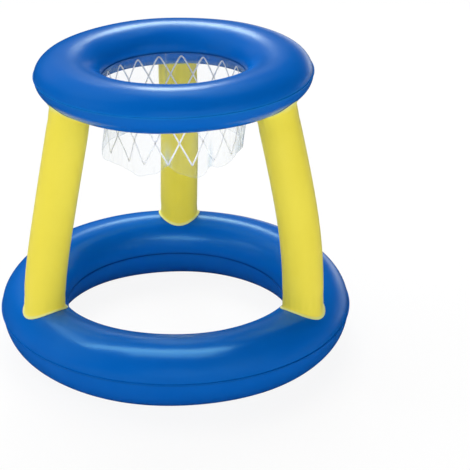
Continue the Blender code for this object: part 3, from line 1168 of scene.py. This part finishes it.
@dataclass
class NetFilm:
    """The clear tube that hangs in the top ring's inner seam, with its printed lattice of loops."""

    ring: InflatedRing
    loops: int = 19
    first_loop: float = math.radians(9.5)
    top_radius: float = 0.1180
    foot_radius: float = 0.1185
    margin: float = 0.0016
    tip_drop: float = 0.0055
    half_loop: float = 0.0362
    loop_span: int = 3
    hem: float = 0.0140
    film: float = 0.0002
    free_below: float = 0.05
    loose_above: float = 0.04
    loose_depth: float = 0.0006
    hem_depth: float = 0.0008
    hem_waves: tuple[int, ...] = (11, 17, 26)
    hem_phase: float = 1.9
    hem_line: float = 0.0012
    hem_shine: float = 0.35
    lap_line: float = 0.0016
    lap_shine: float = 0.6
    fold_shine_above: float = 0.05
    fold_shine_power: int = 4
    line: float = 0.0028
    ink: float = 0.00008
    ink_gap: float = 0.0001
    layer_lift: float = 1.6
    layer_up: tuple[float, float] = (0.48, 0.52)
    layer_down: tuple[float, float] = (0.99, 1.0)
    steps_per_loop: int = 132
    look_ahead: float = 0.4
    tip_round: float = 0.0036
    skew_azimuth: float = math.radians(226)
    skew_width: float = math.radians(11)
    skew: float = math.radians(5.0)
    lap_azimuth: float = math.radians(98.5)
    columns: int = 456
    rows: int = 72

    def __post_init__(self) -> None:
        """Work out where the film leaves the seam and how long it is."""
        across = -self.ring.half_width - self.ring.lip
        self.seam_height = self.ring.place(across, 0.0)[1]
        self.loop_drop = self.loop_span * self.half_loop
        self.grid_drop = self.tip_drop + self.loop_drop

    def crinkle(self, azimuth: float, drop: float) -> float:
        """How far the film stands in or out from a plain tube: lengthwise creases that deepen downwards.

        Args:
            azimuth: where round the film.
            drop: how far down it.

        Returns:
            The distance, outwards.
        """
        sizes = (SHARP_CREASES, FINE_CREASES, WIDE_CREASES)
        heights = [size.height(azimuth, drop) for size in sizes]
        creased = sum(size.depth * height for size, height in zip(sizes, heights))
        loose = smooth_step(self.grid_drop - self.loose_above, self.grid_drop + self.hem, drop)
        folded = sum(fold.out * fold.share(azimuth) for fold in HEM_FOLDS)
        low = loose * (self.loose_depth * heights[1] + folded)
        return smooth_step(0.0, self.free_below, drop) * creased + low

    def hem_drop(self, azimuth: float) -> float:
        """Drop of the free lower edge, which hangs unevenly."""
        uneven = self.hem_depth * ripple(azimuth, self.hem_waves, self.hem_phase)
        return self.grid_drop + self.hem + uneven + sum(fold.drop * fold.share(azimuth) for fold in HEM_FOLDS)

    def point(self, azimuth: float, drop: float, swell: float = 0.0) -> Vector:
        """A point of the film, or of the ink just outside it.

        Args:
            azimuth: where round the film.
            drop: how far down it.
            swell: how far outside its middle.

        Returns:
            The point.
        """
        share = drop / self.grid_drop
        radius = self.top_radius + (self.foot_radius - self.top_radius) * share
        return polar(azimuth, radius + self.crinkle(azimuth, drop) + swell, self.seam_height - drop)

    def film_point(self, around: float, along: float) -> Vector:
        """Grid point of the film: the margin held in the weld, then the hanging tube.

        Args:
            around: a share of the turn.
            along: a share of the rows.

        Returns:
            The point.
        """
        azimuth = FULL_TURN * around
        if along == 0:
            radius, height = self.ring.place(-self.ring.half_width - self.ring.lip + self.margin, 0.0)
            return polar(azimuth, radius, height)
        share = (along * self.rows - 1) / (self.rows - 1)
        return self.point(azimuth, share * self.hem_drop(azimuth))

    def build_film(self, material: Material) -> None:
        """Args:
            material: its finish.
        """
        bm = wrapped_grid(self.columns, self.rows, self.film_point)
        mark_points(bm, "crease", self.crease_share)
        piece = finish_piece(
            "net_clear_film", bm, material, HOOP_BODY, ("net_film",), film=self.film, sharp=80.0
        )

    def crease_share(self, point: Vector) -> float:
        """How strongly the film shines: along the hem, the lap seam and the folds that turn inwards.

        Args:
            point: a point of the film.

        Returns:
            A share from 0 to 1.
        """
        azimuth = math.atan2(point.y, point.x)
        drop = self.seam_height - point.z
        hem = bump(self.hem_drop(azimuth) - drop, self.hem_line)
        lap = bump((azimuth - self.lap_azimuth) * self.foot_radius, self.lap_line)
        low = smooth_step(self.grid_drop - self.fold_shine_above, self.grid_drop, drop)
        folded = max(fold.share(azimuth) ** self.fold_shine_power for fold in HEM_FOLDS if fold.out < 0)
        return max(self.hem_shine * hem, self.lap_shine * lap, low * folded)

    def strand(self, share: float) -> tuple[float, float, float]:
        """Where the one long printed line runs.

        Args:
            share: how far along the line, from 0 to 1 over all its loops.

        Returns:
            Azimuth, drop and layer, from 0 to 1, of the line's middle.
        """
        along = share * self.loops
        index = math.floor(along)
        inside = along - index
        spacing = FULL_TURN / self.loops
        reach = self.loop_span * spacing
        azimuth = self.first_loop + index * reach + inside * reach
        aside = min(inside, 1 - inside) * reach
        tip = self.tip_round / self.foot_radius
        steep = self.loop_drop / (math.hypot(reach / 2, tip) - tip)
        drop = self.tip_drop + steep * (math.hypot(aside, tip) - tip)
        layer = smooth_step(*self.layer_up, inside) - smooth_step(*self.layer_down, inside)
        near = bump(around_from(azimuth, self.skew_azimuth), self.skew_width)
        pulled = self.skew * near * smooth_step(self.half_loop, self.loop_drop, drop)
        return azimuth + pulled, drop, layer

    def build_ink(self, material: Material) -> None:
        """Build the printed lattice: one line that visits every loop, its two slants in two layers.

        Args:
            material: its finish.
        """
        steps = self.loops * self.steps_per_loop
        base = self.film / 2 + self.ink_gap

        def place(around: float, along: float) -> Vector:
            """A point of the line's left or right edge.

            Args:
                around: a share of the line's length.
                along: zero at one edge and one at the other.

            Returns:
                The point.
            """
            azimuth, drop, layer = self.strand(around)
            ahead = self.strand((around + self.look_ahead / steps) % 1.0)
            behind = self.strand((around - self.look_ahead / steps) % 1.0)
            sideways = around_from(ahead[0], behind[0]) * self.foot_radius
            run = Vector((sideways, ahead[1] - behind[1])).normalized()
            offset = (along - 0.5) * self.line
            swell = base + layer * self.layer_lift * self.ink
            return self.point(azimuth + run.y * offset / self.foot_radius, drop - run.x * offset, swell)

        bm = wrapped_grid(steps, 1, place)
        finish_piece(
            "net_white_print", bm, material, HOOP_BODY, ("net_print",),
            film=self.ink, sharp=60.0,
        )


@dataclass
class AirValve:
    """An air valve: a welded seat with a cup, a sliding neck, a plug on a strap and a one-way flap."""

    name: str
    ring: InflatedRing
    angle: float
    azimuth: float = math.radians(58)
    clearance: float = 0.0003
    flange_radius: float = 0.0110
    flange_thickness: float = 0.0007
    cup_radius: float = 0.0070
    cup_wall: float = 0.0007
    cup_depth: float = 0.0080
    neck_radius: float = 0.0043
    neck_bore: float = 0.0029
    neck_rise: float = 0.0016
    neck_fit: float = 0.0002
    travel: float = 0.0070
    rim_radius: float = 0.0052
    rim_height: float = 0.0010
    collar_radius: float = 0.0058
    collar_height: float = 0.0008
    strap_reach: float = 0.0060
    strap_width: float = 0.0030
    strap_thickness: float = 0.0008
    cap_radius: float = 0.0048
    cap_thickness: float = 0.0012
    cap_round: float = 0.0004
    cap_corner: float = 0.3
    dish_edge: float = 0.6
    dish_floor: float = 0.55
    nose_radius: float = 0.0026
    nose_tip_radius: float = 0.0019
    nose_length: float = 0.0036
    flap_radius: float = 0.0040
    flap_offset: float = 0.0002
    flap_thickness: float = 0.0005
    steps: int = 64

    def __post_init__(self) -> None:
        """Work out the valve's place on its ring."""
        origin = self.ring.surface(self.azimuth, self.angle)
        normal = self.ring.normal(origin)
        side = polar(self.azimuth + math.pi / 2, 1.0, 0.0)
        turn = Matrix((side, normal.cross(side), normal)).transposed()
        self.frame = Matrix.Translation(origin) @ turn.to_4x4()
        self.floor = -self.cup_depth - self.cup_wall
        self.neck_foot = self.floor - self.clearance - self.travel - self.collar_height

    def seat_mesh(self) -> Mesh:
        """The welded flange with its cup; the flange follows the ring's curve.

        Returns:
            The mesh, in the valve's own frame.
        """
        outside = self.cup_radius + self.cup_wall
        low, high = self.clearance, self.clearance + self.flange_thickness
        flange, cup, bore = self.flange_radius, self.cup_radius, self.neck_radius + self.neck_fit
        deep, floor, soft = -self.cup_depth, self.floor, self.cap_round / 2
        outline = [(flange, low), (flange, high - soft), (flange - soft, high), (cup + soft, high)]
        outline += [(cup, high - soft), (cup, deep), (bore, deep), (bore, floor)]
        outline += [(outside, floor), (outside, low)]
        bm = spun(outline, self.steps)
        back = self.frame.inverted()
        for corner in bm.verts:
            if math.hypot(corner.co.x, corner.co.y) < (outside + self.flange_radius) / 2:
                continue
            level = Vector((corner.co.x, corner.co.y, 0.0))
            corner.co += back @ self.ring.seat(self.frame @ level) - level
        return bm

    def add_strap(self, bm: Mesh, low: float, high: float, start: float) -> None:
        """Add a soft-edged strap that runs out to the hinge line.

        Args:
            bm: the mesh that gets it.
            low: its underside.
            high: its top side.
            start: how far from the axis it starts.
        """
        made = bmesh.ops.create_cube(bm, size=1.0)["verts"]
        length = self.strap_reach - start
        bmesh.ops.scale(bm, verts=made, vec=(length, self.strap_width, high - low))
        bmesh.ops.translate(bm, verts=made, vec=(-start - length / 2, 0.0, (low + high) / 2))
        edges = list({edge for corner in made for edge in corner.link_edges})
        soft = self.cap_round / 3
        bmesh.ops.bevel(
            bm, geom=edges, offset=soft, offset_type="OFFSET", segments=2, profile=0.5,
            affect="EDGES", material=-1,
        )

    def neck_mesh(self) -> Mesh:
        """The blow tube with its rim and its inner stop collar.

        Returns:
            The mesh, in the valve's own frame.
        """
        soft, top, under = self.cap_round / 2, self.neck_rise, self.neck_rise - self.rim_height
        foot, ledge = self.neck_foot, self.neck_foot + self.collar_height
        bore, collar, tube, rim = self.neck_bore, self.collar_radius, self.neck_radius, self.rim_radius
        outline = [(bore, foot), (collar, foot), (collar, ledge), (tube, ledge), (tube, under)]
        outline += [(rim - soft, under), (rim, under + soft), (rim, top - soft), (rim - soft, top)]
        outline += [(bore + soft, top), (bore, top - soft)]
        bm = spun(outline, self.steps)
        self.add_strap(bm, top - self.strap_thickness, top, self.rim_radius - soft)
        return bm

    def plug_mesh(self) -> Mesh:
        """The cap with its tapered nose and its strap.

        Returns:
            The mesh, in the valve's own frame.
        """
        low = self.neck_rise + self.clearance
        high, foot = low + self.cap_thickness, self.neck_rise - self.nose_length
        cap, tip, soft = self.cap_radius, self.nose_tip_radius, self.cap_round
        corner = soft * self.cap_corner
        outline = [(0.0, foot), (tip - soft / 2, foot), (tip, foot + soft / 2), (self.nose_radius, low)]
        outline += [(cap, low), (cap, high - soft), (cap - corner, high - corner), (cap - soft, high)]
        outline += [(cap * self.dish_edge, high), (cap * self.dish_floor, high - soft / 2)]
        outline += [(0.0, high - soft / 2)]
        bm = spun(outline, self.steps, closed=False)
        self.add_strap(bm, low, low + self.strap_thickness, self.cap_radius - self.cap_round)
        return bm

    def flap_mesh(self) -> Mesh:
        """The disc that closes the neck's inner end.

        Returns:
            The mesh, in the valve's own frame.
        """
        bm = bmesh.new()
        radius = self.flap_radius
        bmesh.ops.create_cone(
            bm, cap_ends=True, segments=self.steps, radius1=radius, radius2=radius, depth=self.flap_thickness
        )
        height = self.neck_foot - self.clearance - self.flap_thickness / 2
        bmesh.ops.translate(bm, verts=bm.verts, vec=(self.flap_offset, 0.0, height))
        return bm

    def build(self, material: Material) -> None:
        """Build the four pieces, each on its own body.

        Args:
            material: their finish.
        """
        makers = {
            "seat": (self.seat_mesh, HOOP_BODY),
            "neck": (self.neck_mesh, f"{self.name}_neck"),
            "plug": (self.plug_mesh, f"{self.name}_plug"),
            "flap": (self.flap_mesh, f"{self.name}_flap"),
        }
        for word, (make, body) in makers.items():
            bm = make()
            bmesh.ops.transform(bm, matrix=self.frame, verts=bm.verts)
            name, node = f"{self.name}_soft_{word}", f"{self.name}_valve_{word}"
            finish_piece(name, bm, material, body, (node,), sharp=40.0)


# Studio


@dataclass(frozen=True)
class SoftSun:
    """One wide, soft lamp that lights surfaces but doesn't show in their gloss; angles in degrees."""

    name: str
    azimuth: float
    elevation: float
    strength: float
    spread: float = 40.0

    def build(self) -> None:
        """Place the lamp; its strength is what a white surface facing it shows."""
        lamp = bpy.data.lights.new(self.name, "SUN")
        lamp.energy = self.strength * math.pi
        lamp.angle = math.radians(self.spread)
        up = math.radians(self.elevation)
        holder = hang_lamp(lamp, Vector(), polar(math.radians(self.azimuth), math.cos(up), math.sin(up)))
        holder.visible_glossy = False


@dataclass(frozen=True)
class GlossCard:
    """A bright card over the base ring, which lights nothing and shows only in gloss."""

    name: str
    place: Point
    size: tuple[float, float]
    brightness: float

    def back(self) -> Vector:
        """The way the card's back faces: straight up."""
        return Vector((0.0, 0.0, 1.0))

    def build(self) -> bpy.types.Object:
        """Hang the card.

        Returns:
            The lamp's object.
        """
        lamp = bpy.data.lights.new(self.name, "AREA")
        lamp.shape = "RECTANGLE"
        lamp.size, lamp.size_y = self.size
        lamp.energy = self.brightness * math.pi * self.size[0] * self.size[1]
        holder = hang_lamp(lamp, Vector(self.place), self.back())
        holder.visible_camera = False
        holder.visible_diffuse = False
        holder.visible_transmission = False
        return holder


@dataclass(frozen=True)
class Softbox(GlossCard):
    """A card behind the hoop, turned towards its middle, that lights surfaces as well."""

    aim: Point = (0.0, 0.2, 0.3)

    def back(self) -> Vector:
        """The way the softbox's back faces: away from its aim."""
        return Vector(self.place) - Vector(self.aim)

    def build(self) -> bpy.types.Object:
        """Hang the softbox.

        Returns:
            The lamp's object.
        """
        holder = super().build()
        holder.visible_diffuse = True
        return holder


def hang_lamp(lamp: bpy.types.Light, place: Vector, back: Vector) -> bpy.types.Object:
    """Put a lamp into the scene.

    Args:
        lamp: the lamp.
        place: where it hangs.
        back: the way its back faces.

    Returns:
        The lamp's object.
    """
    holder = linked(lamp.name, lamp)
    holder.location = place
    holder.rotation_mode = "QUATERNION"
    holder.rotation_quaternion = back.to_track_quat("Z", "Y")
    return holder


@dataclass(frozen=True)
class SkyPatch:
    """A soft-edged bright patch of the world, brightest at its middle; angles in degrees."""

    brightness: float
    azimuth: float
    reach: float
    low: float
    middle: float
    high: float

    def add(self, tree: Tree, across: Socket, height: Socket) -> Socket:
        """Add the patch's nodes.

        Args:
            tree: the world's node tree.
            across: the level unit direction of the ray.
            height: the sine of the ray's elevation.

        Returns:
            The socket with the patch's brightness.
        """
        centre = tuple(polar(math.radians(self.azimuth), 1.0, 0.0))
        toward = add_node(tree, "VectorMath", {0: across, 1: centre}, operation="DOT_PRODUCT").outputs
        sideways = soft_range(tree, toward["Value"], (math.cos(math.radians(self.reach)), 1.0), (0.0, 1.0))
        low, middle, high = (math.sin(math.radians(angle)) for angle in (self.low, self.middle, self.high))
        above = soft_range(tree, height, (low, middle), (0.0, self.brightness))
        below = soft_range(tree, height, (middle, high), (1.0, 0.0))
        return maths(tree, "MULTIPLY", sideways, maths(tree, "MULTIPLY", above, below))


def soft_range(tree: Tree, value: Socket, source: tuple[float, float], result: tuple[float, float]) -> Socket:
    """Add a smooth Map Range node.

    Args:
        tree: the node tree that gets it.
        value: what it reads.
        source: the range that it reads.
        result: what the two ends become.

    Returns:
        The node's result.
    """
    ends = {"From Min": source[0], "From Max": source[1], "To Min": result[0], "To Max": result[1]}
    made = add_node(tree, "MapRange", {"Value": value, **ends}, interpolation_type="SMOOTHSTEP")
    return made.outputs["Result"]


@dataclass
class Studio:
    """Pale floor, soft light and the camera."""

    eye: Point = (0.0742, -2.5452, 1.3746)
    tilt: float = math.radians(64.978)
    pan: float = math.radians(-0.648)
    camera_roll: float = math.radians(0.3865)
    focal_pixels: float = 1621.5
    picture_width: float = 470.0
    sensor: float = 36.0
    floor_size: float = 30.0
    floor_colour: Colour = (0.97, 0.97, 0.97)
    floor_white: float = 0.90
    ambient: float = 0.02
    lamps: tuple[SoftSun | GlossCard, ...] = (
        SoftSun("soft_back", azimuth=90.0, elevation=48.0, strength=0.62),
        SoftSun("soft_back_left", azimuth=150.0, elevation=48.0, strength=0.37),
        SoftSun("soft_left", azimuth=190.0, elevation=22.0, strength=0.24),
        SoftSun("soft_front", azimuth=270.0, elevation=15.0, strength=0.35),
        SoftSun("soft_right", azimuth=312.0, elevation=18.0, strength=0.23),
        GlossCard("card_front", (-0.11, -0.290, 0.42), size=(0.64, 0.075), brightness=7.0),
        GlossCard("card_front_far", (-0.02, -0.365, 0.42), size=(0.40, 0.12), brightness=3.6),
        GlossCard("card_left", (-0.41, -0.06, 0.42), size=(0.14, 0.40), brightness=1.6),
        Softbox("softbox_back", (-0.09, 1.42, 1.45), size=(0.27, 0.36), brightness=9.0),
        Softbox("softbox_side", (-0.35, 1.33, 1.50), size=(0.40, 0.20), brightness=1.3),
        Softbox("softbox_high", (-0.07, 1.12, 1.48), size=(0.30, 0.16), brightness=3.2),
    )
    patches: tuple[SkyPatch, ...] = (
        SkyPatch(1.5, azimuth=96, reach=20, low=42, middle=53, high=66),
        SkyPatch(0.4, azimuth=60, reach=40, low=50, middle=66, high=78),
        SkyPatch(0.3, azimuth=95, reach=16, low=8, middle=21, high=36),
        SkyPatch(0.3, azimuth=122, reach=24, low=4, middle=24, high=42),
        SkyPatch(1.5, azimuth=74, reach=18, low=-14, middle=-1, high=10),
        SkyPatch(0.7, azimuth=50, reach=25, low=-20, middle=-5, high=10),
    )

    def background_rays(self, tree: Tree) -> Socket:
        """One for rays that show the background, directly or through clear film."""
        path = add_node(tree, "LightPath").outputs
        return maths(tree, "MAXIMUM", path["Is Camera Ray"], path["Is Transmission Ray"])

    def build_floor(self) -> None:
        """A wide pale floor that keeps the hoop's shadow."""
        bm = bmesh.new()
        bmesh.ops.create_grid(bm, x_segments=1, y_segments=1, size=self.floor_size / 2)
        floor = linked("studio_floor", mesh_from("studio_floor", bm))
        floor.visible_glossy = False
        material = bpy.data.materials.new("studio_floor")
        tree = empty_tree(material)
        matte = add_node(tree, "BsdfDiffuse", {"Color": self.floor_colour})
        white = add_node(tree, "Emission", {"Strength": 1.0})
        share = maths(tree, "MULTIPLY", self.background_rays(tree), self.floor_white)
        mix = add_node(tree, "MixShader", {0: share, 1: matte.outputs[0], 2: white.outputs[0]})
        add_node(tree, "OutputMaterial", {"Surface": mix.outputs[0]})
        floor.data.materials.append(material)

    def build_world(self) -> None:
        """A white background for the camera, and a dim room with a few bright patches for everything else."""
        world = bpy.data.worlds.new("studio")
        bpy.context.scene.world = world
        tree = empty_tree(world)
        ray = add_node(tree, "TexCoord").outputs["Generated"]
        height = add_node(tree, "SeparateXYZ", {0: ray}).outputs["Z"]
        level = add_node(tree, "VectorMath", {0: ray, 1: (1.0, 1.0, 0.0)}, operation="MULTIPLY")
        across = add_node(tree, "VectorMath", {0: level.outputs["Vector"]}, operation="NORMALIZE")
        room: object = self.ambient
        for patch in self.patches:
            room = maths(tree, "ADD", patch.add(tree, across.outputs["Vector"], height), room)
        strength = maths(tree, "MAXIMUM", room, self.background_rays(tree))
        background = add_node(tree, "Background", {"Strength": strength})
        add_node(tree, "OutputWorld", {"Surface": background.outputs[0]})

    def build_camera(self) -> None:
        """The camera at the photograph's place."""
        lens = bpy.data.cameras.new("camera")
        lens.sensor_width = self.sensor
        lens.lens = self.focal_pixels * self.sensor / self.picture_width
        lens.clip_end = self.floor_size * 2
        camera = linked("camera", lens)
        turn = Matrix.Rotation(self.pan, 4, "Z") @ Matrix.Rotation(self.tilt, 4, "X")
        camera.matrix_world = Matrix.Translation(self.eye) @ turn @ Matrix.Rotation(self.camera_roll, 4, "Z")
        bpy.context.scene.camera = camera

    def build(self) -> None:
        """Build the studio."""
        self.build_floor()
        self.build_world()
        self.build_camera()
        for lamp in self.lamps:
            lamp.build()
        bpy.context.scene.view_settings.view_transform = "Standard"


@dataclass
class Hoop:
    """The whole hoop."""

    base: InflatedRing = field(
        default_factory=lambda: InflatedRing(
            name="base",
            centre_radius=0.247,
            half_width=0.056,
            half_height=0.0592,
            centre_height=0.059,
            rest_height=0.0002,
            seam_rise=0.005,
        )
    )
    top: InflatedRing = field(
        default_factory=lambda: InflatedRing(
            name="top",
            centre_radius=0.176,
            half_width=0.055,
            half_height=0.0372,
            centre_height=0.4827,
            roll=math.radians(4.5),
            inner_seam_gap=0.0002,
            lip=0.0016,
            # a stronger painted highlight on the outer lip, a fainter painted shadow under it
            seam_shine=0.7,
            seam_shade=0.2,
        )
    )
    left_sag: float = 0.0035
    base_valve_angle: float = math.radians(30)
    top_valve_angle: float = math.radians(25)

    def build(self) -> None:
        """Build and dress every piece of the hoop, in order."""
        effects = Effects()
        blue = BLUE_VINYL.make(effects)
        yellow = YELLOW_VINYL.make(effects)
        for ring in (self.base, self.top):
            ring.build(blue)
        for place in PostPlace:
            sag = self.left_sag if place is PostPlace.LEFT else 0.0
            Post(place, self.base, self.top, sag=sag).build(yellow)
        net = NetFilm(self.top)
        net.build_film(CLEAR_FILM.make(effects))
        net.build_ink(WHITE_INK.make(effects))
        soft = SOFT_VINYL.make(effects)
        AirValve("base", self.base, self.base_valve_angle).build(soft)
        AirValve("top", self.top, self.top_valve_angle).build(soft)


def main() -> None:
    """Build the studio and the hoop."""
    logging.basicConfig(level=logging.INFO, format="%(name)s %(message)s")
    Studio().build()
    Hoop().build()


if __name__ == "__main__":
    main()
